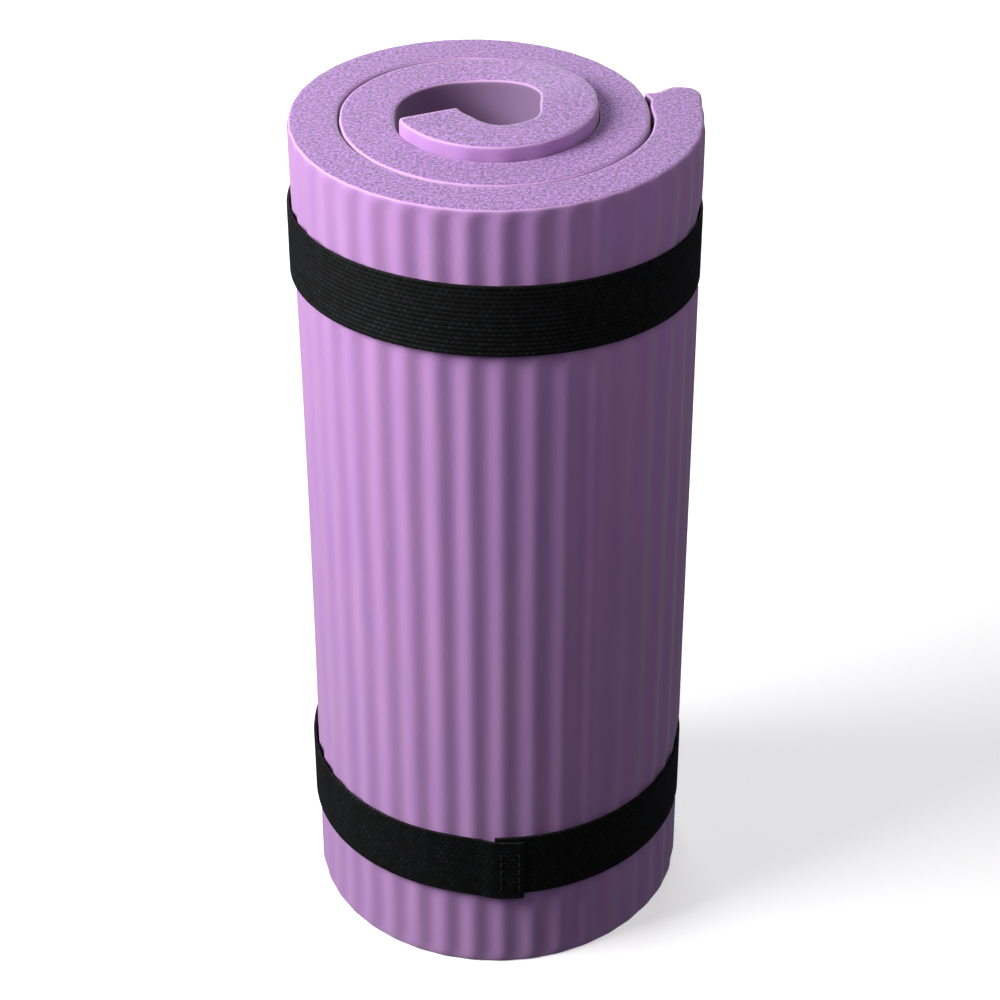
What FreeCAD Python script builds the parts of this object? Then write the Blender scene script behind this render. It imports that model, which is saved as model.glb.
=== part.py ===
"""Short foam exercise mat, rolled up, standing on end and held closed by two elastic bands.

Millimetres. +Z is up, along the roll. The origin is at the centre of the roll's foot.
The front is -Y. Seen from above the mat winds counter-clockwise from its inner end outwards.
"""

import FreeCAD
import Part
import math
import os

# Mat: one sheet, as it lies in the roll
MAT_WIDTH = 250.0            # across the sheet, so the height of the standing roll
FOAM_THICKNESS = 13.2        # a 15 mm sheet, squeezed by its own winding
TURN_GAP = 0.4               # air between one turn and the next
CORE_RADIUS = 14.2           # inside of the first half turn
INNER_END_ANGLE = 202.0      # where the inner cut end lies on the first half turn, in degrees
LAST_HALF_TURN = 4           # half turns are numbered from 0 at the core
TAIL_LENGTH = 14.5           # outer end, which leaves the spiral and runs straight
TAIL_CORNER_RADIUS = 4.0     # soft outer corner of that end
CORE_RISE = 3.8              # how far the first turn has slid up out of the others
STRAIGHT_RUN = 1.2           # straight foam between each front and back half turn
TIP_ANGLE = 195.4            # inner corner of the inner end, which is thicker than the rest
TIP_SWELL = 2.9              # extra thickness at that corner
TIP_BELLY_ANGLE = 232.0      # the thick end's inside bows out to here
TIP_BELLY_SWELL = 3.6        # extra thickness there
TIP_END_ANGLE = 282.0        # and meets the round of the core here

# Elastic bands, each a strip with its two ends lapped and sewn
BAND_THICKNESS = 0.9
BAND_CLEARANCE = 0.3         # between the mat and a band, all round
UPPER_BAND_WIDTH = 20.4
UPPER_BAND_INSET = 20.5      # from the mat's top edge down to the upper band, at the front
UPPER_BAND_LEAN = (-0.02, -0.065)   # rise of the band for each mm to the right, and to the back
LOWER_BAND_WIDTH = 21.4
LOWER_BAND_INSET = 27.7      # from the mat's bottom edge up to the lower band, at the front
LOWER_BAND_LEAN = (0.0, -0.012)
LAP_LENGTH = 9.0             # length of the double layer where the ends overlap
UPPER_LAP_ANGLE = 100.0      # upper lap, at the back, in degrees round the back centre
UPPER_LAP_STEP = 0.6         # how far the outer layer sits above the inner one
LOWER_LAP_ANGLE = 274.0      # lower lap, at the front, in degrees round the front centre
LOWER_LAP_STEP = -1.4

# Sewing thread that shows on the laps
THREAD_WIDTH = 0.6
THREAD_PROUD = 0.35          # how far a stitch stands out from the webbing
STITCH_LENGTH = 2.2
STITCH_SPACE = 0.8           # between one stitch and the next in a row
STITCH_ROWS = 2
ROW_INSET = 2.0              # from each end of the lap to its row
ROW_MARGIN = 1.6             # from each edge of the lap to the first stitch

# The spiral is made of half circles about two centres, half a pitch apart.
# Half turns with an even number are at the front, those with an odd number at the back.
PITCH = FOAM_THICKNESS + TURN_GAP
FRONT_CENTRE = FreeCAD.Vector(0.0, PITCH / 4.0 - STRAIGHT_RUN / 2.0, 0.0)
BACK_CENTRE = FRONT_CENTRE + FreeCAD.Vector(-PITCH / 2.0, STRAIGHT_RUN, 0.0)
UP = FreeCAD.Vector(0.0, 0.0, 1.0)


def inner_radius(half_turn):
    """Radius of the inside of a half turn."""
    return CORE_RADIUS + half_turn * PITCH / 2.0


def outer_radius(half_turn):
    """Radius of the outside of a half turn."""
    return inner_radius(half_turn) + FOAM_THICKNESS


def centre_of(half_turn):
    """Centre of a half turn."""
    return BACK_CENTRE if half_turn % 2 else FRONT_CENTRE


def polar(centre, radius, degrees):
    """Point at a radius and an angle from a centre, at height zero."""
    angle = math.radians(degrees)
    return centre + FreeCAD.Vector(radius * math.cos(angle), radius * math.sin(angle), 0.0)


def arc(centre, radius, start, end):
    """Arc in the XY plane, counter-clockwise from start to end in degrees."""
    circle = Part.Circle(centre, UP, radius)
    return Part.Arc(circle, math.radians(start), math.radians(end)).toShape()


def line(start, end):
    """Straight edge."""
    return Part.LineSegment(start, end).toShape()


def prism(edges, bottom, height):
    """Upright solid over a closed outline in the XY plane."""
    wire = Part.Wire(Part.__sortEdges__(edges))
    solid = Part.Face(wire).extrude(FreeCAD.Vector(0.0, 0.0, height))
    solid.translate(FreeCAD.Vector(0.0, 0.0, bottom))
    return solid


def ring_sector(centre, inside, outside, start, end, bottom, height):
    """Upright solid between two radii and two angles."""
    edges = [
        arc(centre, inside, start, end),
        arc(centre, outside, start, end),
        line(polar(centre, inside, start), polar(centre, outside, start)),
        line(polar(centre, inside, end), polar(centre, outside, end)),
    ]
    return prism(edges, bottom, height)


def turn_sector(half_turn, start, end, bottom, height):
    """Part of one half turn of foam."""
    inside = inner_radius(half_turn)
    outside = outer_radius(half_turn)
    return ring_sector(centre_of(half_turn), inside, outside, start, end, bottom, height)


def straight_run(half_turn, height):
    """Short straight length of foam from the end of one half turn to the start of the next."""
    inside = centre_of(half_turn).x + inner_radius(half_turn)
    if half_turn % 2:
        inside = centre_of(half_turn).x - outer_radius(half_turn)
    corner = FreeCAD.Vector(inside, FRONT_CENTRE.y, 0.0)
    return Part.makeBox(FOAM_THICKNESS, STRAIGHT_RUN, height, corner)


def thick_tip(height):
    """Extra thickness on the inside of the inner end, which was never wound as tight."""
    outer_corner = polar(FRONT_CENTRE, outer_radius(0), INNER_END_ANGLE)
    corner = polar(FRONT_CENTRE, inner_radius(0) - TIP_SWELL, TIP_ANGLE)
    belly = polar(FRONT_CENTRE, inner_radius(0) - TIP_BELLY_SWELL, TIP_BELLY_ANGLE)
    meets = polar(FRONT_CENTRE, inner_radius(0), TIP_END_ANGLE)
    edges = [
        line(outer_corner, corner),
        Part.Arc(corner, belly, meets).toShape(),
        arc(FRONT_CENTRE, inner_radius(0), INNER_END_ANGLE, TIP_END_ANGLE),
        line(polar(FRONT_CENTRE, inner_radius(0), INNER_END_ANGLE), outer_corner),
    ]
    return prism(edges, 0.0, height)


def tail():
    """Straight outer end of the mat, with its soft outer corner."""
    inside = FRONT_CENTRE.x + inner_radius(LAST_HALF_TURN)
    outside = FRONT_CENTRE.x + outer_radius(LAST_HALF_TURN)
    start = FRONT_CENTRE.y
    end = start + TAIL_LENGTH
    corner = tail_corner_centre()
    points = [
        FreeCAD.Vector(outside, corner.y, 0.0),
        FreeCAD.Vector(outside, start, 0.0),
        FreeCAD.Vector(inside, start, 0.0),
        FreeCAD.Vector(inside, end, 0.0),
        FreeCAD.Vector(corner.x, end, 0.0),
    ]
    edges = [line(a, b) for a, b in zip(points, points[1:])]
    edges.append(arc(corner, TAIL_CORNER_RADIUS, 0.0, 90.0))
    return prism(edges, 0.0, MAT_WIDTH)


def tail_corner_centre():
    """Centre of the round on the tail's outer corner."""
    across = FRONT_CENTRE.x + outer_radius(LAST_HALF_TURN) - TAIL_CORNER_RADIUS
    along = FRONT_CENTRE.y + TAIL_LENGTH - TAIL_CORNER_RADIUS
    return FreeCAD.Vector(across, along, 0.0)


def risen_first_turn():
    """Innermost three quarters of a turn, which has slid up and slopes back down to the rest."""
    tall = MAT_WIDTH + CORE_RISE
    front = turn_sector(0, INNER_END_ANGLE, 360.0, 0.0, tall)
    right = [straight_run(0, tall), turn_sector(1, 0.0, 90.0, 0.0, tall), thick_tip(tall)]
    slope_end = BACK_CENTRE.y + inner_radius(1)
    near = FRONT_CENTRE.y - outer_radius(0)
    far = BACK_CENTRE.y + outer_radius(1)
    side_view = [
        (near, CORE_RISE),
        (FRONT_CENTRE.y, CORE_RISE),
        (slope_end, 0.0),
        (far, 0.0),
        (far, MAT_WIDTH),
        (slope_end, MAT_WIDTH),
        (FRONT_CENTRE.y, tall),
        (near, tall),
    ]
    left = BACK_CENTRE.x - outer_radius(1)
    corners = [FreeCAD.Vector(left, y, z) for y, z in side_view]
    outline = Part.makePolygon(corners + corners[:1])
    envelope = Part.Face(outline).extrude(FreeCAD.Vector(2.0 * outer_radius(1), 0.0, 0.0))
    return front.multiFuse(right).common(envelope)


def foam_mat():
    """The whole rolled sheet."""
    pieces = [turn_sector(1, 90.0, 180.0, 0.0, MAT_WIDTH)]
    for half_turn in range(2, LAST_HALF_TURN + 1):
        start = 0.0 if half_turn % 2 else 180.0
        pieces.append(straight_run(half_turn - 1, MAT_WIDTH))
        pieces.append(turn_sector(half_turn, start, start + 180.0, 0.0, MAT_WIDTH))
    pieces.append(tail())
    return risen_first_turn().multiFuse(pieces).removeSplitter()


def bridge_angle():
    """Direction, square to the band's straight run, from the tail's corner to the back of the roll."""
    across = tail_corner_centre() - BACK_CENTRE
    drop = outer_radius(LAST_HALF_TURN - 1) - TAIL_CORNER_RADIUS
    return math.degrees(math.atan2(across.y, across.x) + math.acos(drop / across.Length))


def tight_outline(offset):
    """Outline of a band pulled tight round the roll, at a distance from the foam."""
    front = outer_radius(LAST_HALF_TURN) + offset
    back = outer_radius(LAST_HALF_TURN - 1) + offset
    corner = TAIL_CORNER_RADIUS + offset
    turn = bridge_angle()
    corner_centre = tail_corner_centre()
    side = FreeCAD.Vector(FRONT_CENTRE.x + front, corner_centre.y, 0.0)
    return [
        arc(FRONT_CENTRE, front, 180.0, 360.0),
        line(polar(FRONT_CENTRE, front, 0.0), side),
        arc(corner_centre, corner, 0.0, turn),
        line(polar(corner_centre, corner, turn), polar(BACK_CENTRE, back, turn)),
        arc(BACK_CENTRE, back, turn, 180.0),
        line(polar(BACK_CENTRE, back, 180.0), polar(FRONT_CENTRE, front, 180.0)),
    ]


def leaning_height(bottom, lean, point):
    """Height of a band's lower edge at a point, from its height at the front and its lean."""
    front = FRONT_CENTRE.y - outer_radius(LAST_HALF_TURN)
    return bottom + lean[0] * point.x + lean[1] * (point.y - front)


def slab(bottom, width, lean):
    """Everything between a band's two leaning edges."""
    reach = 2.0 * outer_radius(LAST_HALF_TURN)
    corners = [FreeCAD.Vector(x * reach, y * reach, 0.0) for x, y in ((-1, -1), (1, -1), (1, 1), (-1, 1))]
    for corner in corners:
        corner.z = leaning_height(bottom, lean, corner)
    face = Part.Face(Part.makePolygon(corners + corners[:1]))
    return face.extrude(FreeCAD.Vector(0.0, 0.0, width))


def webbing(bottom, width, lean, lap):
    """One elastic strip round the roll, with the outer layer of its lap."""
    outside = BAND_CLEARANCE + BAND_THICKNESS
    loop = prism(tight_outline(outside), 0.0, MAT_WIDTH)
    loop = loop.cut(prism(tight_outline(BAND_CLEARANCE), 0.0, MAT_WIDTH))
    centre, radius, angle, step = lap
    half = math.degrees(LAP_LENGTH / 2.0 / radius)
    layer_top = radius + BAND_THICKNESS
    layer = ring_sector(centre, radius, layer_top, angle - half, angle + half, 0.0, MAT_WIDTH)
    loop = loop.common(slab(bottom, width, lean))
    layer = layer.common(slab(bottom + step, width, lean))
    return loop.fuse(layer).removeSplitter()


def stitching(bottom, width, lean, lap):
    """Rows of separate stitches across the lap, on its outer face."""
    centre, radius, angle, step = lap
    face = radius + BAND_THICKNESS
    half_width = math.degrees(THREAD_WIDTH / 2.0 / face)
    row_reach = LAP_LENGTH / 2.0 - ROW_INSET
    row_pitch = 2.0 * row_reach / (STITCH_ROWS - 1)
    first = max(step, 0.0) + ROW_MARGIN
    room = width - abs(step) - 2.0 * ROW_MARGIN
    stitch_pitch = STITCH_LENGTH + STITCH_SPACE
    count = int((room + STITCH_SPACE) / stitch_pitch)
    stitches = []
    for row in range(STITCH_ROWS):
        at = angle + math.degrees((row * row_pitch - row_reach) / face)
        foot = leaning_height(bottom, lean, polar(centre, face, at))
        for number in range(count):
            low = foot + first + number * stitch_pitch
            stitch = ring_sector(centre, face, face + THREAD_PROUD, at - half_width,
                                 at + half_width, low, STITCH_LENGTH)
            stitches.append(stitch)
    return Part.makeCompound(stitches)


def lap_on(half_turn, angle, step):
    """Where a band's lap lies: centre, radius of the loop's outer face, angle and edge step."""
    radius = outer_radius(half_turn) + BAND_CLEARANCE + BAND_THICKNESS
    return centre_of(half_turn), radius, angle, step


def build():
    """Every node, by name."""
    upper_bottom = MAT_WIDTH - UPPER_BAND_INSET - UPPER_BAND_WIDTH
    upper_lap = lap_on(LAST_HALF_TURN - 1, UPPER_LAP_ANGLE, UPPER_LAP_STEP)
    lower_lap = lap_on(LAST_HALF_TURN, LOWER_LAP_ANGLE, LOWER_LAP_STEP)
    upper = (upper_bottom, UPPER_BAND_WIDTH, UPPER_BAND_LEAN, upper_lap)
    lower = (LOWER_BAND_INSET, LOWER_BAND_WIDTH, LOWER_BAND_LEAN, lower_lap)
    return {
        "foam_mat": foam_mat(),
        "upper_band_webbing": webbing(*upper),
        "upper_band_stitching": stitching(*upper),
        "lower_band_webbing": webbing(*lower),
        "lower_band_stitching": stitching(*lower),
    }


os.makedirs("parts", exist_ok=True)
for node, shape in build().items():
    shape.exportStep(f"parts/{node}.step")
    size = shape.BoundBox
    print(f"{node}: {len(shape.Solids)} solids, {shape.Volume / 1000.0:.2f} cm3, valid {shape.isValid()},",
          f"x {size.XMin:.2f}..{size.XMax:.2f}, y {size.YMin:.2f}..{size.YMax:.2f},",
          f"z {size.ZMin:.2f}..{size.ZMax:.2f}")
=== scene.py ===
"""Rolled foam exercise mat held closed by two elastic bands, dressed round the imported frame.

Metres, +Z up along the roll, origin at the centre of its foot, front towards -Y.
"""
import math

import bpy
from mathutils import Euler, Matrix, Vector


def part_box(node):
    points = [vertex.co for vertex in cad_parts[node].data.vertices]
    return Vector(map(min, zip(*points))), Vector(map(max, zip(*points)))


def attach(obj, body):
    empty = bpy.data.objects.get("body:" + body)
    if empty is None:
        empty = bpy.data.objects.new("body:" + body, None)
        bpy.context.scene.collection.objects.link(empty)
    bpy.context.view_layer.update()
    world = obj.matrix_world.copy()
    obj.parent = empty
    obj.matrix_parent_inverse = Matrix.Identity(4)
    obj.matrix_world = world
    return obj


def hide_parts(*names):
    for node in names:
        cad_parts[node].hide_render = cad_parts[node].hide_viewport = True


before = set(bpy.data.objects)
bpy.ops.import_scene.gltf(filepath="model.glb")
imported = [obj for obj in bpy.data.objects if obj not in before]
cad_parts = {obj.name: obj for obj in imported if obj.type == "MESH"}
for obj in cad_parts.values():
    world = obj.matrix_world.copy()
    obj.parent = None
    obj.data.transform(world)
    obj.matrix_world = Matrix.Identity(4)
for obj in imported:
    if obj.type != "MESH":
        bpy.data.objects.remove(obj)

MM = 0.001
TAU = 2.0 * math.pi
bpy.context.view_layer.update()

# ---------------------------------------------------------------- sizes taken from the frame

MAT_LOW, MAT_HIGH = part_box("foam_mat")
FRONT_RADIUS = (MAT_HIGH.x - MAT_LOW.x) / 2.0        # outside of the outermost half turn
FRONT_CENTRE = Vector((0.0, MAT_LOW.y + FRONT_RADIUS, 0.0))
STRAIGHT_RUN = 1.2 * MM                              # between the front and the back half turns
BACK_RADIUS = MAT_HIGH.y - FRONT_CENTRE.y - STRAIGHT_RUN
HALF_PITCH = FRONT_RADIUS - BACK_RADIUS              # the spiral's two centres are this far apart
BACK_CENTRE = FRONT_CENTRE + Vector((-HALF_PITCH, STRAIGHT_RUN, 0.0))

# ---------------------------------------------------------------- sizes of the foam

TURN_GAP = 0.2 * MM                                  # the turns nearly touch
FOAM_THICKNESS = 2.0 * HALF_PITCH - TURN_GAP
MAT_WIDTH = 250.0 * MM
CORE_RISE = MAT_HIGH.z - MAT_WIDTH
LAST_HALF_TURN = 4
INNER_END_ANGLE = math.radians(202.0)
TAIL_LENGTH = 14.5 * MM
TAIL_CORNER = 4.0 * MM
TAIL_LEAN = 1.9 * MM                                 # the end cut leans, longer on the outer side
TAIL_REACH = 2.6 * MM                                # how far the bands clear that corner
PATH_SPARE = 6.0 * MM                                # the path runs on past both ends of the sheet
RIB_PITCH = 7.63 * MM                                # along the middle of the sheet
RIB_PHASE = 4.8 * MM
RIB_DEPTH = 0.8 * MM

# ---------------------------------------------------------------- sizes of the bands

WEBBING_THICKNESS = 0.75 * MM
WEBBING_CLEARANCE = 0.15 * MM                        # from the foam to the back of the webbing
LAP_LENGTH = 9.0 * MM
LAP_RUN_UP = 5.0 * MM                                # over this the outer layer climbs onto the inner one
DROOP_RUN = 26.0 * MM                                # over this the outer layer strays up or down
LONG_RIBS = 15                                       # ribs across the webbing
LOWER_LAP = (FRONT_CENTRE, FRONT_RADIUS, math.radians(274.0))
UPPER_LAP = (BACK_CENTRE, BACK_RADIUS, math.radians(100.0))
LOWER_STRAY = -1.4 * MM                              # how far the outer layer's end sits off
UPPER_STRAY = 0.6 * MM
STITCH_LENGTH = 2.2 * MM
STITCH_SPACE = 0.8 * MM
THREAD_RADIUS = 0.26 * MM
STITCH_ARCH = 0.42 * MM
STITCH_SINK = 0.28 * MM
ROW_INSET = 2.0 * MM                                 # from each end of the lap to its row
ROW_MARGIN = 1.6 * MM                                # from each edge of the lap to the first stitch
# lower edge at the front, width, and rise for each metre to the right and to the back
UPPER_BAND = (209.1 * MM, 20.4 * MM, -0.02, -0.065)
LOWER_BAND = (27.7 * MM, 21.4 * MM, 0.0, -0.012)


# ---------------------------------------------------------------- how the sheet changes along itself

PATH_STEP = 0.5 * MM
BAND_STEP = 0.6 * MM
RIB_FADE = 3.0 * MM                                  # the ribs get shallow this near a cut edge
EDGE_RIB_SHARE = 0.15                                # what is left of them at the edge itself
TURN_BLEND = 12.0 * MM                               # a swelling or a grip comes in over this
SIDE_SWELL_RUN = 13.0 * MM
PRESS_INSIDE = 1.5 * MM                              # the dip starts this far under a band's edge
PRESS_OUTSIDE = 3.0 * MM                             # and ends this far past it
TAIL_BULGE_RUN = 22.0 * MM
LEAN_RUN = 16.0 * MM
LIP_RUN = 5.0 * MM
FILL_BEFORE_END = 8.0 * MM
FILL_RUN = 10.0 * MM
EDGE_UNEVENNESS = 1.5                                # of the cut edges, against the skin

# ---------------------------------------------------------------- colours and grain

SKIN_COLOURS = ((0.40, 0.160, 0.515), (0.44, 0.186, 0.515))
# painted shade: the sheet's inner face, seen inside the roll's hole, is made far darker than the skin
INNER_FACE_SHADE_COLOUR = (0.09, 0.018, 0.125)
CELL_COLOURS = ((0.095, 0.017, 0.17), (0.45, 0.15, 0.635))
# pale line along the cut edges: partly the skin's own lighter edge, partly a painted highlight of the
# rounded edge
RIM_HIGHLIGHT_COLOUR = (0.70, 0.40, 0.74)
# the lighter colour mostly shows as painted highlight dashes on the rib crowns
ELASTIC_COLOURS = ((0.0012, 0.0014, 0.0018), (0.028, 0.031, 0.035))
THREAD_COLOURS = ((0.002, 0.002, 0.0024), (0.009, 0.009, 0.0105))
CELL_SCALE = 1700.0
TONE_SCALE = 1100.0
STREAK_SCALE = 260.0
SKIN_GRAIN_SCALE = 1400.0
FUZZ_SCALE = 2600.0
WANDER_SCALE = 350.0
PICK_PITCH = 0.55 * MM                               # crosswise threads, along the webbing
COVER_PITCH = 0.35 * MM
DASH_PITCH = 1.7 * MM                                # painted highlight: pale dashes on each rib
DASH_SHIFT = 0.83 * MM                               # from one rib to the next
TWIST_PITCH = 0.5 * MM

# ---------------------------------------------------------------- camera and studio

LENS = 95.66
CAMERA_PLACE = (0.0008, -0.63147, 0.55254)
CAMERA_TILT = math.radians(90.0 - 33.75)
CAMERA_TURN = math.radians(-0.03)
CAMERA_ROLL = math.radians(-0.127)
STAGE_REACH = 3.0
WALL_SIDES = 48
WALL_HEIGHTS = (-0.5, 4.0)
FLOOR_COLOUR = (0.78, 0.78, 0.79)
FLOOR_GLOW = 0.48
WALL_COLOUR = (0.1, 0.1, 0.1)
WALL_GLOW = 0.56
SKY_COLOUR = (0.86, 0.91, 1.0, 1.0)
SKY_STRENGTH = 0.075


# ================================================================ node trees in plain sums

class Num:
    """A number on a node socket. Adding or scaling it makes the Math node that does so."""

    def __init__(self, tree, socket):
        self.tree = tree
        self.socket = socket

    def op(self, operation, *others):
        node = self.tree.nodes.new("ShaderNodeMath")
        node.operation = operation
        for place, value in enumerate((self, *others)):
            plug(self.tree, value, node.inputs[place])
        return Num(self.tree, node.outputs[0])

    def __add__(self, other):
        return self.op("ADD", other)

    __radd__ = __add__

    def __sub__(self, other):
        return self.op("SUBTRACT", other)

    def __rsub__(self, other):
        return self.op("MULTIPLY", -1.0).op("ADD", other)

    def __mul__(self, other):
        return self.op("MULTIPLY", other)

    __rmul__ = __mul__

    def __truediv__(self, other):
        return self.op("DIVIDE", other)

    def at_least(self, other):
        return self.op("MAXIMUM", other)

    def at_most(self, other):
        return self.op("MINIMUM", other)

    def size(self):
        return self.op("ABSOLUTE")

    def ramp(self, start, end):
        """0 up to start, 1 from end on, smooth between."""
        node = self.tree.nodes.new("ShaderNodeMapRange")
        node.interpolation_type = "SMOOTHSTEP"
        node.clamp = True
        for name, value in (("Value", self), ("From Min", start), ("From Max", end)):
            plug(self.tree, value, node.inputs[name])
        node.inputs["To Min"].default_value = 0.0
        node.inputs["To Max"].default_value = 1.0
        return Num(self.tree, node.outputs["Result"])


def plug(tree, value, socket):
    """Put a number, a colour, a Num or another node's output on a socket."""
    if isinstance(value, Num):
        tree.links.new(value.socket, socket)
    elif isinstance(value, bpy.types.NodeSocket):
        tree.links.new(value, socket)
    else:
        socket.default_value = value


def add(tree, kind, settings=None, **inputs):
    """A node with its settings, and its inputs by name, with _ for a space."""
    node = tree.nodes.new(kind)
    for name, value in (settings or {}).items():
        setattr(node, name, value)
    for name, value in inputs.items():
        plug(tree, value, node.inputs[name.replace("_", " ")])
    return node


def xyz(tree, x, y, z):
    """Vector socket from three numbers."""
    return add(tree, "ShaderNodeCombineXYZ", X=x, Y=y, Z=z).outputs[0]


def parts_of(tree, vector):
    """Three Nums from a vector socket."""
    node = add(tree, "ShaderNodeSeparateXYZ", Vector=vector)
    return [Num(tree, out) for out in node.outputs]


def vector_op(tree, operation, first, second=None, scale=None):
    """One vector sum."""
    node = tree.nodes.new("ShaderNodeVectorMath")
    node.operation = operation
    plug(tree, first, node.inputs[0])
    if second is not None:
        plug(tree, second, node.inputs[1])
    if scale is not None:
        plug(tree, scale, node.inputs["Scale"])
    return node.outputs[0]


def new_tree(name, numbers, counts):
    """Geometry tree with named number and count inputs, a path and a finish."""
    tree = bpy.data.node_groups.new(name, "GeometryNodeTree")
    face = tree.interface
    face.new_socket("Path", in_out="INPUT", socket_type="NodeSocketGeometry")
    for title in numbers:
        face.new_socket(title, in_out="INPUT", socket_type="NodeSocketFloat")
    for title in counts:
        face.new_socket(title, in_out="INPUT", socket_type="NodeSocketInt")
    face.new_socket("Finish", in_out="INPUT", socket_type="NodeSocketMaterial")
    face.new_socket("Piece", in_out="OUTPUT", socket_type="NodeSocketGeometry")
    source = tree.nodes.new("NodeGroupInput")
    values = {out.name: out for out in source.outputs if out.name}
    nums = {title: Num(tree, values[title]) for title in (*numbers, *counts)}
    return tree, values, nums


def close_tree(tree, geometry, finish):
    """Realize Instances, Set Material and the output."""
    real = add(tree, "GeometryNodeRealizeInstances", Geometry=geometry)
    painted = add(tree, "GeometryNodeSetMaterial", Geometry=real.outputs[0], Material=finish)
    sink = tree.nodes.new("NodeGroupOutput")
    tree.links.new(painted.outputs[0], sink.inputs[0])


def grown(name, tree, points, sizes):
    """Plain mesh that a tree makes from a path of points, with the tree's inputs by name."""
    line = bpy.data.meshes.new(name + "_path")
    edges = [(i, i + 1) for i in range(len(points) - 1)]
    line.from_pydata([tuple(p) for p in points], edges, [])
    host = bpy.data.objects.new(name + "_path", line)
    bpy.context.scene.collection.objects.link(host)
    modifier = host.modifiers.new("tree", "NODES")
    modifier.node_group = tree
    for item in tree.interface.items_tree:
        if item.in_out == "INPUT" and item.name in sizes:
            modifier[item.identifier] = sizes[item.name]
    graph = bpy.context.evaluated_depsgraph_get()
    mesh = bpy.data.meshes.new_from_object(
        host.evaluated_get(graph), preserve_all_data_layers=True, depsgraph=graph)
    bpy.data.objects.remove(host)
    bpy.data.meshes.remove(line)
    mesh.name = name
    piece = bpy.data.objects.new(name, mesh)
    bpy.context.scene.collection.objects.link(piece)
    return piece


# ================================================================ a sheet laid along a path

SHEET_NUMBERS = (
    "Length", "Start", "Thickness", "Width", "Bottom", "Edge Round", "Fine Edges",
    "Cross Rib Pitch", "Cross Rib Phase", "Cross Rib Depth", "Covered Ribs",
    "Long Rib Pitch", "Long Rib Depth",
    "Rise", "Rise Holds To", "Rise Ends At",
    "End Corner", "End Lean", "End Lip", "Start Corner", "Slack", "End Fill", "Unevenness", "Uneven Size",
    "Tip Swell", "Tip Swell Holds To", "Tip Swell Ends At",
    "Turn Swell", "Turn Swell From", "Turn Swell To",
    "Side Swell", "Side Swell At", "Tail Bulge", "Tail Bulge From", "Waist",
    "Press Depth", "Press From", "Press Width", "Front",
    "Lower Press", "Lower Lean", "Upper Press", "Upper Lean",
)
SHEET_COUNTS = ("Steps Along", "Steps Through", "Steps Across")


def rounded_section(through, across, half_thick, half_wide, edge):
    """Round the four long edges of the sheet's cross-section."""
    flat_through = through.at_most(half_thick - edge).at_least(edge - half_thick)
    flat_across = across.at_most(half_wide - edge).at_least(edge - half_wide)
    out_through = through - flat_through
    out_across = across - flat_across
    reach = out_through.size().at_least(out_across.size())
    length = (out_through * out_through + out_across * out_across).op("SQRT").at_least(1e-9)
    return (flat_through + out_through * reach / length,
            flat_across + out_across * reach / length)


def pressed(across, place, width):
    """1 where a band presses on the sheet, 0 clear of it."""
    off = (across - place).size()
    return 1.0 - off.ramp(width * 0.5 - PRESS_INSIDE, width * 0.5 + PRESS_OUTSIDE)


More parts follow.
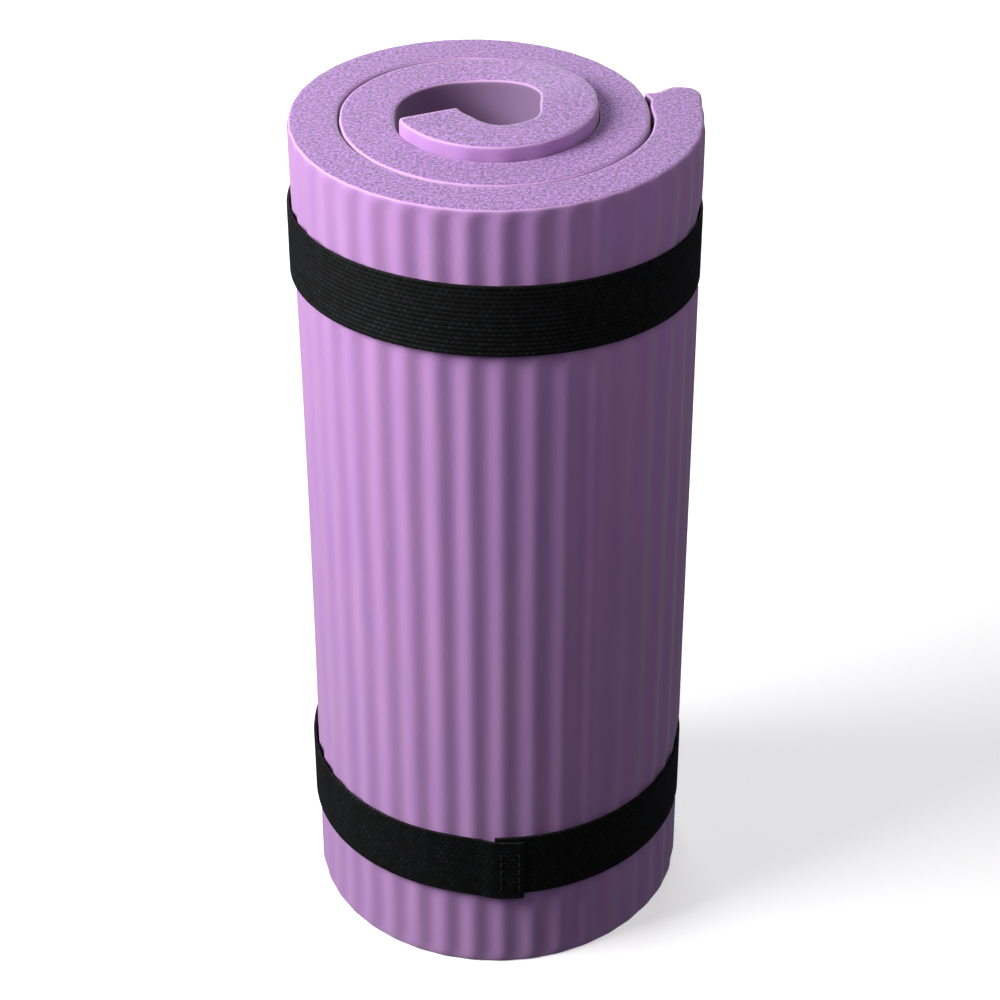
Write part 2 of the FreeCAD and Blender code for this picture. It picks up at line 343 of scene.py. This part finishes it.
def sheet_tree():
    """Tree that makes a thick ribbed sheet flat, and lays it along a path."""
    tree, values, n = new_tree("sheet along a path", SHEET_NUMBERS, SHEET_COUNTS)
    block = add(tree, "GeometryNodeMeshCube", Size=(2.0, 2.0, 2.0), Vertices_X=n["Steps Along"],
                Vertices_Y=n["Steps Through"], Vertices_Z=n["Steps Across"])
    place = add(tree, "GeometryNodeInputPosition").outputs[0]
    a, b, c = parts_of(tree, place)
    half_thick = n["Thickness"] * 0.5
    half_wide = n["Width"] * 0.5
    outward = b.op("MULTIPLY", TAU / 4.0).op("SINE")
    sideways = c.op("MULTIPLY", TAU / 4.0).op("SINE")
    sideways = c + (sideways - c) * n["Fine Edges"]
    along = (a + 1.0) * 0.5 * n["Length"]
    through, across = rounded_section(
        outward * half_thick, sideways * half_wide, half_thick, half_wide, n["Edge Round"])
    outer = (outward + 1.0) * 0.5

    # ribs on the outer face, across the sheet and along it
    wave = ((along + n["Cross Rib Phase"]) * TAU / n["Cross Rib Pitch"]).op("COSINE")
    from_edge = half_wide - across.size()
    wave = wave * (EDGE_RIB_SHARE + (1.0 - EDGE_RIB_SHARE) * from_edge.ramp(0.0, RIB_FADE))
    on_last_turn = along.ramp(n["Press From"], n["Press From"] + TURN_BLEND)
    squashed = n["Covered Ribs"] + (1.0 - n["Covered Ribs"]) * on_last_turn
    cross_rib = (wave * 0.5 - 0.5) * n["Cross Rib Depth"] * squashed
    arch = (across * (TAU / 2.0) / n["Long Rib Pitch"]).op("COSINE").size().op("POWER", 0.6)
    long_rib = (arch - 1.0) * n["Long Rib Depth"]
    lift = (cross_rib + long_rib) * outer

    # soft corners at the two ends, on the outer side
    for corner, run in ((n["End Corner"], n["Length"] - along), (n["Start Corner"], along)):
        into = (corner - run).at_least(0.0)
        drop = corner - (corner * corner - into * into).at_least(0.0).op("SQRT")
        lift = lift - drop * outer

    # the foam is freer, so thicker, on the inner side of the first turn
    tip = 1.0 - along.ramp(n["Tip Swell Holds To"], n["Tip Swell Ends At"])
    turn = along.ramp(n["Turn Swell From"] - TURN_BLEND, n["Turn Swell From"] + TURN_BLEND)
    turn = turn * (1.0 - along.ramp(n["Turn Swell To"] - TURN_BLEND, n["Turn Swell To"] + TURN_BLEND))
    lip = along.ramp(n["Length"] - LIP_RUN, n["Length"])
    side = 1.0 - (along - n["Side Swell At"]).size().ramp(0.0, SIDE_SWELL_RUN)
    fill = 1.0 - (n["Length"] - FILL_BEFORE_END - along).size().ramp(0.0, FILL_RUN)
    swell = tip * n["Tip Swell"] + turn * n["Turn Swell"] + side * n["Side Swell"] + fill * n["End Fill"]
    lift = lift - (swell + lip * lip * n["End Lip"]) * (1.0 - outer)

    # small unevenness, and the bands' grip on the outermost turn
    grain = add(tree, "ShaderNodeTexNoise", {"noise_dimensions": "3D"},
                Vector=xyz(tree, along, through * 0.3, across),
                Scale=n["Uneven Size"].op("POWER", -1.0), Detail=1.0)
    bump = (Num(tree, grain.outputs[0]) - 0.5) * n["Unevenness"]
    lift = lift + bump * outer
    curve = add(tree, "GeometryNodeMeshToCurve", Mesh=values["Path"]).outputs[0]
    _, back, _ = parts_of(tree, add(tree, "GeometryNodeSampleCurve", {"mode": "LENGTH"}, Curves=curve,
                                    Length=n["Start"] + along).outputs["Position"])
    back = back - n["Front"]
    lower = n["Lower Press"] + n["Lower Lean"] * back
    upper = n["Upper Press"] + n["Upper Lean"] * back
    squeeze = pressed(across, lower, n["Press Width"])
    squeeze = squeeze + pressed(across, upper, n["Press Width"])
    lift = lift - squeeze * on_last_turn * n["Press Depth"] * outer
    bulge = along.ramp(n["Tail Bulge From"], n["Tail Bulge From"] + TAIL_BULGE_RUN) * (1.0 - squeeze)
    lift = lift + bulge * n["Tail Bulge"]

    # lay it along the path
    lean = along.ramp(n["Length"] - LEAN_RUN, n["Length"])
    # the end reaches 1.2 leans on the outer side and falls 0.8 short on the inner side
    lean = lean * n["End Lean"] * (outward.ramp(-0.6, 0.5) * 2.0 - 0.8)
    on_path = add(tree, "GeometryNodeSampleCurve", {"mode": "LENGTH"},
                  Curves=curve, Length=n["Start"] + along + lean)
    heading = on_path.outputs["Tangent"]
    out = vector_op(tree, "NORMALIZE", vector_op(tree, "CROSS_PRODUCT", heading, (0.0, 0.0, 1.0)))
    out_x, _, _ = parts_of(tree, out)
    slack = n["Slack"] * (1.0 - outer) * (0.5 - 0.5 * out_x)
    raised = n["Rise"] * (1.0 - along.ramp(n["Rise Holds To"], n["Rise Ends At"]))
    height = n["Bottom"] + half_wide + across + raised
    height = height + bump * sideways * EDGE_UNEVENNESS
    waist = (across * (TAU / 2.0) / n["Width"]).op("COSINE") * (0.5 - 0.5 * out_x) * (1.0 - squeeze)
    lift = lift - waist * n["Waist"] * outer * on_last_turn
    spot = vector_op(tree, "ADD", on_path.outputs["Position"],
                     vector_op(tree, "SCALE", out, scale=through + lift + slack))
    spot = vector_op(tree, "ADD", spot, xyz(tree, 0.0, 0.0, height))
    laid = add(tree, "GeometryNodeSetPosition", Geometry=kept_flat(tree, block, along, through, across),
               Position=spot)
    # the path's directions are left-handed, so laying the sheet out turns it inside out
    turned = add(tree, "GeometryNodeFlipFaces", Mesh=laid.outputs[0])
    close_tree(tree, crisp(tree, turned.outputs[0]), values["Finish"])
    return tree


def stitch_tree():
    """Tree that puts one arched stitch on each point, facing away from a centre."""
    numbers = ("Centre X", "Centre Y", "Stitch Length", "Thread Radius", "Arch", "Sink", "Uneven Turn")
    tree, values, n = new_tree("row of stitches", numbers, ("Sides", "Steps"))
    half = n["Stitch Length"] * 0.5
    bow = add(tree, "GeometryNodeCurveQuadraticBezier", Resolution=n["Steps"],
              Start=xyz(tree, n["Sink"] * -1.0, 0.0, half * -1.0),
              Middle=xyz(tree, n["Arch"], 0.0, 0.0),
              End=xyz(tree, n["Sink"] * -1.0, 0.0, half))
    ring = add(tree, "GeometryNodeCurvePrimitiveCircle", Resolution=n["Sides"], Radius=n["Thread Radius"])
    thread = add(tree, "GeometryNodeCurveToMesh", Curve=bow.outputs[0],
                 Profile_Curve=ring.outputs[0], Fill_Caps=True)
    x, y, _ = parts_of(tree, add(tree, "GeometryNodeInputPosition").outputs[0])
    out = xyz(tree, x - n["Centre X"], y - n["Centre Y"], 0.0)
    face_out = add(tree, "FunctionNodeAlignEulerToVector", {"axis": "X", "pivot_axis": "Z"}, Vector=out)
    chance = add(tree, "FunctionNodeRandomValue", {"data_type": "FLOAT"}, Seed=7)
    swing = (Num(tree, chance.outputs["Value"]) - 0.5) * 2.0 * n["Uneven Turn"]
    turned = add(tree, "FunctionNodeRotateEuler", {"rotation_type": "AXIS_ANGLE", "space": "LOCAL"},
                 Rotation=face_out.outputs[0], Axis=(1.0, 0.0, 0.0), Angle=swing)
    row = add(tree, "GeometryNodeInstanceOnPoints", Points=values["Path"],
              Instance=thread.outputs[0], Rotation=turned.outputs[0])
    smooth = add(tree, "GeometryNodeRealizeInstances", Geometry=row.outputs[0])
    shaded = add(tree, "GeometryNodeSetShadeSmooth", {"domain": "FACE"}, Geometry=smooth.outputs[0])
    shaded.inputs["Shade Smooth"].default_value = True
    close_tree(tree, shaded.outputs[0], values["Finish"])
    return tree


def kept_flat(tree, block, along, through, across):
    """The block with its place in the flat sheet stored for the finish to read."""
    store = add(tree, "GeometryNodeStoreNamedAttribute",
                {"data_type": "FLOAT_VECTOR", "domain": "POINT"}, Geometry=block.outputs["Mesh"])
    store.inputs["Name"].default_value = "flat"
    plug(tree, xyz(tree, along, through, across), store.inputs["Value"])
    return store.outputs[0]


def crisp(tree, geometry):
    """Smooth shading with the ends' corners left sharp."""
    bend = add(tree, "GeometryNodeInputMeshEdgeAngle").outputs["Unsigned Angle"]
    sharp = Num(tree, bend).op("GREATER_THAN", math.radians(50.0))
    smooth = add(tree, "GeometryNodeSetShadeSmooth", {"domain": "FACE"}, Geometry=geometry)
    smooth.inputs["Shade Smooth"].default_value = True
    edges = add(tree, "GeometryNodeSetShadeSmooth", {"domain": "EDGE"},
                Geometry=smooth.outputs[0], Selection=sharp)
    edges.inputs["Shade Smooth"].default_value = False
    return edges.outputs[0]


# ================================================================ paths

def arc_points(centre, radius, start, end, step):
    """Points on an arc, from start to end in radians, without the last one."""
    count = max(2, int(abs(end - start) * radius / step))
    for i in range(count):
        angle = start + (end - start) * i / count
        yield centre + Vector((math.cos(angle), math.sin(angle), 0.0)) * radius


def line_points(start, end, step):
    """Points on a straight run, without the last one."""
    count = max(1, int((end - start).length / step))
    for i in range(count):
        yield start.lerp(end, i / count)


def middle_radius(half_turn):
    """Radius of the middle of the foam in one half turn."""
    return FRONT_RADIUS - FOAM_THICKNESS / 2.0 - (LAST_HALF_TURN - half_turn) * HALF_PITCH


def spiral_path():
    """Middle line of the wound foam, with a straight spare run before and after it."""
    radius = middle_radius(0)
    first = FRONT_CENTRE + Vector((math.cos(INNER_END_ANGLE), math.sin(INNER_END_ANGLE), 0)) * radius
    heading = Vector((-math.sin(INNER_END_ANGLE), math.cos(INNER_END_ANGLE), 0.0))
    points = list(line_points(first - heading * PATH_SPARE, first, PATH_STEP))
    for half_turn in range(LAST_HALF_TURN + 1):
        centre = BACK_CENTRE if half_turn % 2 else FRONT_CENTRE
        start = 0.0 if half_turn % 2 else math.pi
        end = start + math.pi
        start = INNER_END_ANGLE if half_turn == 0 else start
        points += arc_points(centre, middle_radius(half_turn), start, end, PATH_STEP)
    tail_start = FRONT_CENTRE + Vector((middle_radius(LAST_HALF_TURN), 0.0, 0.0))
    tail_end = tail_start + Vector((0.0, TAIL_LENGTH + PATH_SPARE, 0.0))
    return points + list(line_points(tail_start, tail_end, PATH_STEP)) + [tail_end]


def path_length(points):
    """Length along a list of points."""
    return sum((b - a).length for a, b in zip(points, points[1:]))


def arc_length_to(half_turn, angle):
    """Length of foam, on its middle line, from the inner end to an angle on a half turn."""
    first = (math.tau - INNER_END_ANGLE) * middle_radius(0)
    if half_turn == 0:
        return (angle - INNER_END_ANGLE) * middle_radius(0)
    between = sum(math.pi * middle_radius(k) for k in range(1, half_turn)) + half_turn * STRAIGHT_RUN
    start = 0.0 if half_turn % 2 else math.pi
    return first + between + (angle - start) * middle_radius(half_turn)


def tight_loop(offset, start_angle):
    """Outline of a band pulled tight round the roll at an offset from the foam.

    It starts at an angle round the front centre and goes once round, counter-clockwise.
    """
    reach = TAIL_LENGTH - TAIL_CORNER + TAIL_REACH
    corner = FRONT_CENTRE + Vector((FRONT_RADIUS - TAIL_CORNER, reach, 0.0))
    span = corner - BACK_CENTRE
    turn = math.atan2(span.y, span.x) + math.acos((BACK_RADIUS - TAIL_CORNER) / span.length)
    front = FRONT_RADIUS + offset
    back = BACK_RADIUS + offset
    small = TAIL_CORNER + offset
    out = Vector((math.cos(turn), math.sin(turn), 0.0))
    side = Vector((FRONT_CENTRE.x + front, FRONT_CENTRE.y, 0.0))
    points = list(arc_points(FRONT_CENTRE, front, start_angle, math.tau, BAND_STEP))
    points += line_points(side, Vector((side.x, corner.y, 0.0)), BAND_STEP)
    points += arc_points(corner, small, 0.0, turn, BAND_STEP)
    points += line_points(corner + out * small, BACK_CENTRE + out * back, BAND_STEP)
    points += arc_points(BACK_CENTRE, back, turn, math.pi, BAND_STEP)
    points += arc_points(FRONT_CENTRE, front, math.pi, start_angle, BAND_STEP)
    return points


def outward_at(points, i):
    """Level direction away from the roll at one point of a loop."""
    ahead = points[(i + 1) % len(points)] - points[i - 1]
    return Vector((ahead.y, -ahead.x, 0.0)).normalized()


def on_arc(lap, along, proud=0.0):
    """Point on a lap's round, at a distance along it from the lap's middle."""
    centre, radius, angle = lap
    angle += along / radius
    out = Vector((math.cos(angle), math.sin(angle), 0.0))
    return centre + out * (radius + proud)


def lapped_path(lap, lean_right, lean_back, droop):
    """Middle line of a webbing strip: once round, then up over its own start for the lap.

    The band rises by its leans to the right and to the back, and its outer end strays by droop.
    """
    offset = WEBBING_CLEARANCE + WEBBING_THICKNESS / 2.0
    loop = tight_loop(offset, math.radians(270.0))
    lap_start = on_arc(lap, -LAP_LENGTH / 2.0)
    shift = min(range(len(loop)), key=lambda i: (loop[i] - lap_start).length)
    loop = loop[shift:] + loop[:shift]
    total = path_length(loop) + (loop[0] - loop[-1]).length
    step = total / len(loop)
    front = min(point.y for point in loop)
    points = []
    for i in range(len(loop) + int(LAP_LENGTH / step) + 1):
        place = loop[i % len(loop)]
        climb = eased((i * step - total + LAP_RUN_UP) / LAP_RUN_UP)
        stray = eased((i * step - total - LAP_LENGTH + DROOP_RUN) / DROOP_RUN)
        height = droop * stray + lean_right * place.x + lean_back * (place.y - front)
        place = place + outward_at(loop, i % len(loop)) * climb * WEBBING_THICKNESS
        points.append(place + Vector((0.0, 0.0, height)))
    return points


def eased(share):
    """0 below 0, 1 above 1, smooth between."""
    share = min(1.0, max(0.0, share))
    return share * share * (3.0 - 2.0 * share)


# ================================================================ finishes

def new_finish(name):
    """Material with a Principled shader, and its tree."""
    material = bpy.data.materials.new(name)
    material.use_nodes = True
    tree = material.node_tree
    shader = next(node for node in tree.nodes if node.type == "BSDF_PRINCIPLED")
    return material, tree, shader


def blend_colours(tree, share, low, high):
    """Colour socket between two colours."""
    node = add(tree, "ShaderNodeMix", {"data_type": "RGBA"})
    plug(tree, share, node.inputs[0])
    for place, value in ((6, low), (7, high)):
        if isinstance(value, tuple):
            node.inputs[place].default_value = (*value, 1.0)
        else:
            tree.links.new(value, node.inputs[place])
    return node.outputs[2]


def noise(tree, place, scale, detail):
    """Grain from 0 to 1."""
    return Num(tree, add(tree, "ShaderNodeTexNoise", Vector=place, Scale=scale, Detail=detail).outputs[0])


def foam_finish(length):
    """Purple closed-cell foam: matt moulded skin outside, fine open cells where it is cut."""
    material, tree, shader = new_finish("purple_foam")
    place = add(tree, "ShaderNodeTexCoord").outputs["Object"]
    flat = add(tree, "ShaderNodeAttribute", {"attribute_name": "flat"}).outputs["Vector"]
    along, through, across = parts_of(tree, flat)
    to_skin = FOAM_THICKNESS / 2.0 - through.size()
    to_edge = MAT_WIDTH / 2.0 - across.size()
    cut = 1.0 - to_edge.ramp(0.15 * MM, 0.6 * MM)
    inside = to_skin.ramp(0.1 * MM, 0.75 * MM)
    cut = cut * inside

    cells = add(tree, "ShaderNodeTexVoronoi", {"feature": "F1"}, Vector=place, Scale=CELL_SCALE)
    speck = Num(tree, cells.outputs["Distance"]).ramp(0.1, 0.75)
    tone = noise(tree, place, TONE_SCALE, 3.0)
    streak = xyz(tree, along, through, across * 0.12)
    patch = noise(tree, streak, STREAK_SCALE, 3.0)
    cell_colour = blend_colours(tree, (tone - 0.5) * 3.5 + speck * 0.4 + 0.2, *CELL_COLOURS)
    skin_colour = blend_colours(tree, patch.ramp(0.3, 0.7), *SKIN_COLOURS)
    # painted shade: the inner face is darkened to stand in for the shade inside the roll's hole
    inner = 1.0 - through.ramp(-0.5 * FOAM_THICKNESS, -0.3 * FOAM_THICKNESS)
    skin_colour = blend_colours(tree, inner * 0.9, skin_colour, INNER_FACE_SHADE_COLOUR)
    colour = blend_colours(tree, cut, skin_colour, cell_colour)
    to_end = (length * 0.5 - along).size() * -1.0 + length * 0.5
    side = to_skin.at_most(to_end)
    # painted highlight along the cut edges and the end edges, partly the skin's own lighter edge
    rim_highlight = (1.0 - side.ramp(0.35 * MM, 0.8 * MM)) * (1.0 - to_edge.ramp(0.25 * MM, 0.7 * MM))
    colour = blend_colours(tree, rim_highlight * 0.6, colour, RIM_HIGHLIGHT_COLOUR)
    tree.links.new(colour, shader.inputs["Base Color"])

    rough = 0.84 + cut * 0.1
    tree.links.new(rough.socket, shader.inputs["Roughness"])
    fine = noise(tree, place, SKIN_GRAIN_SCALE, 2.0)
    height = speck * cut * 1.0 + fine * 0.4
    bump = add(tree, "ShaderNodeBump", Strength=0.45, Distance=0.0003, Height=height)
    tree.links.new(bump.outputs[0], shader.inputs["Normal"])
    shader.inputs["IOR"].default_value = 1.8
    shader.inputs["Specular IOR Level"].default_value = 1.0
    shader.inputs["Sheen Weight"].default_value = 0.32
    shader.inputs["Sheen Roughness"].default_value = 0.5
    return material


def webbing_finish():
    """Black elastic webbing: covered rubber ribs bound by fine crosswise threads, with pale dashes
    painted on the rib crowns as highlights.
    """
    material, tree, shader = new_finish("black_elastic")
    flat = add(tree, "ShaderNodeAttribute", {"attribute_name": "flat"}).outputs["Vector"]
    along, _, across = parts_of(tree, flat)
    pick = (along * TAU / PICK_PITCH).op("SINE")
    cover = (across * TAU / COVER_PITCH + pick * 0.8).op("SINE")
    weave = pick * 0.5 + cover * 0.5
    rib = across / (LOWER_BAND[1] / LONG_RIBS)
    row = rib.op("FLOOR")
    place = (along + row * DASH_SHIFT) / DASH_PITCH
    dash = (place * TAU).op("SINE").ramp(-0.4, 0.5)
    chance = add(tree, "ShaderNodeTexWhiteNoise", {"noise_dimensions": "2D"},
                 Vector=xyz(tree, (place - 0.75).op("FLOOR"), row, 0.0)).outputs["Value"]
    crown = ((rib - row - 0.5) * TAU / 2.0).op("COSINE").op("POWER", 0.7)
    fuzz = noise(tree, flat, FUZZ_SCALE, 2.0)
    wander = noise(tree, flat, WANDER_SCALE, 2.0)
    # painted highlight: pale glints on the crown of each rib
    glint = crown * dash * (Num(tree, chance) + 0.3) * 1.3 + 0.1
    shade = (weave * 0.15 + fuzz * 0.6).ramp(0.0, 0.9) * glint * wander.ramp(0.3, 0.65)
    colour = blend_colours(tree, shade, *ELASTIC_COLOURS)
    tree.links.new(colour, shader.inputs["Base Color"])
    shader.inputs["Roughness"].default_value = 0.68
    shader.inputs["Specular IOR Level"].default_value = 0.15
    bump = add(tree, "ShaderNodeBump", Strength=0.5, Distance=0.0001,
               Height=weave * 0.4 + fuzz * 0.4 + dash * crown * 0.9)
    tree.links.new(bump.outputs[0], shader.inputs["Normal"])
    shader.inputs["Sheen Weight"].default_value = 0.03
    shader.inputs["Sheen Roughness"].default_value = 0.4
    return material


def thread_finish():
    """Black sewing thread with its twist."""
    material, tree, shader = new_finish("black_thread")
    place = add(tree, "ShaderNodeTexCoord").outputs["Object"]
    x, _, z = parts_of(tree, place)
    twist = ((z + x) * TAU / TWIST_PITCH).op("SINE")
    colour = blend_colours(tree, twist.ramp(-1.0, 1.0), *THREAD_COLOURS)
    tree.links.new(colour, shader.inputs["Base Color"])
    bump = add(tree, "ShaderNodeBump", Strength=0.6, Distance=0.0001, Height=twist)
    tree.links.new(bump.outputs[0], shader.inputs["Normal"])
    shader.inputs["Roughness"].default_value = 0.5
    return material


# ================================================================ pieces

def make_mat(tree):
    """The rolled foam sheet."""
    path = spiral_path()
    length = path_length(path) - 2.0 * PATH_SPARE
    finish = foam_finish(length)
    piece = grown("rolled_foam_mat", tree, path, {
        "Length": length, "Start": PATH_SPARE, "Thickness": FOAM_THICKNESS, "Width": MAT_WIDTH,
        "Bottom": 0.06 * MM, "Edge Round": 0.8 * MM, "Fine Edges": 1.0,
        "Cross Rib Pitch": RIB_PITCH, "Cross Rib Phase": RIB_PHASE, "Cross Rib Depth": RIB_DEPTH,
        "Covered Ribs": 0.45, "Long Rib Pitch": 1.0, "Long Rib Depth": 0.0,
        "Rise": CORE_RISE, "Rise Holds To": arc_length_to(1, 0.0),
        "Rise Ends At": arc_length_to(1, math.radians(100.0)),
        "End Corner": TAIL_CORNER, "End Lean": TAIL_LEAN, "End Lip": 1.8 * MM,
        "Start Corner": 0.5 * MM, "Slack": 0.05 * MM, "End Fill": 0.7 * MM,
        "Unevenness": 0.14 * MM, "Uneven Size": 0.04,
        "Tip Swell": 3.6 * MM, "Tip Swell Holds To": 9.0 * MM, "Tip Swell Ends At": 29.0 * MM,
        "Turn Swell": 1.5 * MM, "Turn Swell From": arc_length_to(1, 0.0),
        "Turn Swell To": arc_length_to(2, math.radians(200.0)),
        "Side Swell": 1.6 * MM, "Side Swell At": arc_length_to(0, math.radians(352.0)),
        "Tail Bulge": 0.6 * MM, "Tail Bulge From": arc_length_to(4, math.radians(318.0)),
        "Waist": 0.8 * MM,
        "Press Depth": 0.4 * MM, "Press From": arc_length_to(3, math.radians(20.0)),
        "Press Width": LOWER_BAND[1], "Front": MAT_LOW.y,
        "Lower Press": LOWER_BAND[0] + (LOWER_BAND[1] - MAT_WIDTH) / 2.0, "Lower Lean": LOWER_BAND[3],
        "Upper Press": UPPER_BAND[0] + (UPPER_BAND[1] - MAT_WIDTH) / 2.0, "Upper Lean": UPPER_BAND[3],
        "Steps Along": 720, "Steps Through": 15, "Steps Across": 49, "Finish": finish,
    })
    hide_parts("foam_mat")
    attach(piece, "mat")


def make_webbing(which, tree, finish, band, lap, droop):
    """One elastic band: a strip once round the roll, its ends lapped."""
    node = which + "_band_webbing"
    bottom, width, lean_right, lean_back = band
    path = lapped_path(lap, lean_right, lean_back, droop)
    length = path_length(path)
    piece = grown(node.replace("webbing", "elastic"), tree, path, {
        "Length": length, "Start": 0.0, "Thickness": WEBBING_THICKNESS,
        "Width": width, "Bottom": bottom, "Edge Round": 0.3 * MM, "Fine Edges": 0.0,
        "Cross Rib Pitch": 1.0, "Cross Rib Phase": 0.0, "Cross Rib Depth": 0.0, "Covered Ribs": 1.0,
        "Long Rib Pitch": width / LONG_RIBS, "Long Rib Depth": 0.18 * MM,
        "Rise": 0.0, "Rise Holds To": 0.0, "Rise Ends At": 1.0,
        "End Corner": 0.2 * MM, "End Lean": 0.0, "End Lip": 0.0, "Start Corner": 0.2 * MM,
        "Slack": 0.0, "End Fill": 0.0, "Unevenness": 0.1 * MM, "Uneven Size": 0.02,
        "Tip Swell": 0.0, "Tip Swell Holds To": 0.0, "Tip Swell Ends At": 1.0 * MM,
        "Turn Swell": 0.0, "Turn Swell From": 10.0, "Turn Swell To": 11.0,
        "Side Swell": 0.0, "Side Swell At": 10.0, "Tail Bulge": 0.0, "Tail Bulge From": 10.0,
        "Waist": 0.0,
        "Press Depth": 0.0, "Press From": 10.0, "Press Width": 1.0 * MM, "Front": 0.0,
        "Lower Press": 1.0, "Lower Lean": 0.0, "Upper Press": 1.0, "Upper Lean": 0.0,
        "Steps Along": 460, "Steps Through": 3, "Steps Across": LONG_RIBS * 5 + 1, "Finish": finish,
    })
    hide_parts(node)
    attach(piece, which + "_band")


def make_stitching(which, tree, finish, band, lap, droop):
    """Rows of stitches that sew a band's lap."""
    node = which + "_band_stitching"
    bottom, width, lean_right, lean_back = band
    face = WEBBING_CLEARANCE + 2.0 * WEBBING_THICKNESS
    room = width - abs(droop) - 2.0 * ROW_MARGIN
    count = int((room + STITCH_SPACE) / (STITCH_LENGTH + STITCH_SPACE))
    spots = []
    for row in (-1.0, 1.0):
        spot = on_arc(lap, row * (LAP_LENGTH / 2.0 - ROW_INSET), face)
        foot = bottom + max(droop, 0.0) + ROW_MARGIN + STITCH_LENGTH / 2.0
        foot += lean_right * spot.x + lean_back * (spot.y - MAT_LOW.y)
        for number in range(count):
            height = foot + number * (STITCH_LENGTH + STITCH_SPACE)
            spots.append(Vector((spot.x, spot.y, height)))
    centre = lap[0]
    piece = grown(which + "_lap_stitches", tree, spots, {
        "Centre X": centre.x, "Centre Y": centre.y, "Stitch Length": STITCH_LENGTH,
        "Thread Radius": THREAD_RADIUS, "Arch": STITCH_ARCH, "Sink": STITCH_SINK,
        "Uneven Turn": math.radians(5.0), "Sides": 8, "Steps": 9, "Finish": finish,
    })
    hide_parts(node)
    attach(piece, which + "_band")


# ================================================================ studio

def make_camera():
    """Camera in front of the roll, looking down at it."""
    camera = bpy.data.objects.new("camera", bpy.data.cameras.new("camera"))
    camera.data.sensor_width = 36.0
    camera.data.lens = LENS
    camera.location = CAMERA_PLACE
    tilt = Euler((CAMERA_TILT, 0.0, CAMERA_TURN), "XYZ").to_matrix()
    camera.rotation_euler = (tilt @ Matrix.Rotation(CAMERA_ROLL, 3, "Z")).to_euler()
    bpy.context.scene.collection.objects.link(camera)
    bpy.context.scene.camera = camera


def area_light(name, place, aim, width, power, colour):
    """Soft square light aimed at a point."""
    light = bpy.data.lights.new(name, "AREA")
    light.shape = "SQUARE"
    light.size = width
    light.energy = power
    light.color = colour
    holder = bpy.data.objects.new(name, light)
    holder.location = place
    holder.visible_camera = False
    aim_at = Vector(aim) - Vector(place)
    holder.rotation_euler = aim_at.to_track_quat("-Z", "Y").to_euler()
    bpy.context.scene.collection.objects.link(holder)


def stage_piece(name, corners, faces, colour, glow):
    """Pale matt sheet of the set, which glows a little and throws no light on the roll."""
    mesh = bpy.data.meshes.new(name)
    mesh.from_pydata(corners, [], faces)
    sheet = bpy.data.objects.new(name, mesh)
    bpy.context.scene.collection.objects.link(sheet)
    material, _, shader = new_finish("pale_" + name)
    shader.inputs["Base Color"].default_value = (*colour, 1.0)
    shader.inputs["Roughness"].default_value = 0.9
    shader.inputs["Emission Color"].default_value = (1.0, 1.0, 1.0, 1.0)
    shader.inputs["Emission Strength"].default_value = glow
    mesh.materials.append(material)
    sheet.visible_diffuse = False
    sheet.visible_glossy = False
    return sheet


def make_studio():
    """Pale floor and wall, a key light from the upper left, and dim lights for the shaded sides."""
    reach = STAGE_REACH
    corners = [(-reach, -reach, 0.0), (reach, -reach, 0.0), (reach, reach, 0.0), (-reach, reach, 0.0)]
    stage_piece("floor", corners, [(0, 1, 2, 3)], FLOOR_COLOUR, FLOOR_GLOW)
    sides = WALL_SIDES
    ring = [(reach * math.cos(TAU * i / sides), reach * math.sin(TAU * i / sides)) for i in range(sides)]
    wall_points = [(x, y, z) for z in WALL_HEIGHTS for x, y in ring]
    wall_faces = [(i, (i + 1) % sides, sides + (i + 1) % sides, sides + i) for i in range(sides)]
    wall = stage_piece("wall", wall_points, wall_faces, WALL_COLOUR, WALL_GLOW)
    wall.visible_shadow = False
    area_light("key", (-0.62, -0.18, 0.62), (0.0, 0.0, 0.14), 0.45, 11.0, (1.0, 0.985, 0.97))
    area_light("fill", (0.25, -0.32, 0.60), (0.0, 0.0, 0.2), 0.45, 0.85, (1.0, 0.95, 0.98))
    area_light("back", (0.0, 0.75, 0.42), (0.0, 0.0, 0.12), 0.5, 2.6, (1.0, 1.0, 1.0))
    world = bpy.data.worlds.new("studio")
    world.use_nodes = True
    background = next(node for node in world.node_tree.nodes if node.type == "BACKGROUND")
    background.inputs["Color"].default_value = SKY_COLOUR
    background.inputs["Strength"].default_value = SKY_STRENGTH
    bpy.context.scene.world = world


def build():
    """Everything, in order."""
    make_camera()
    make_studio()
    tree = sheet_tree()
    elastic = webbing_finish()
    make_mat(tree)
    stitches = stitch_tree()
    thread = thread_finish()
    for which, band, lap, stray in (("lower", LOWER_BAND, LOWER_LAP, LOWER_STRAY),
                                    ("upper", UPPER_BAND, UPPER_LAP, UPPER_STRAY)):
        make_webbing(which, tree, elastic, band, lap, stray)
        make_stitching(which, stitches, thread, band, lap, stray)


bpy.context.scene.view_settings.view_transform = "Standard"
build()
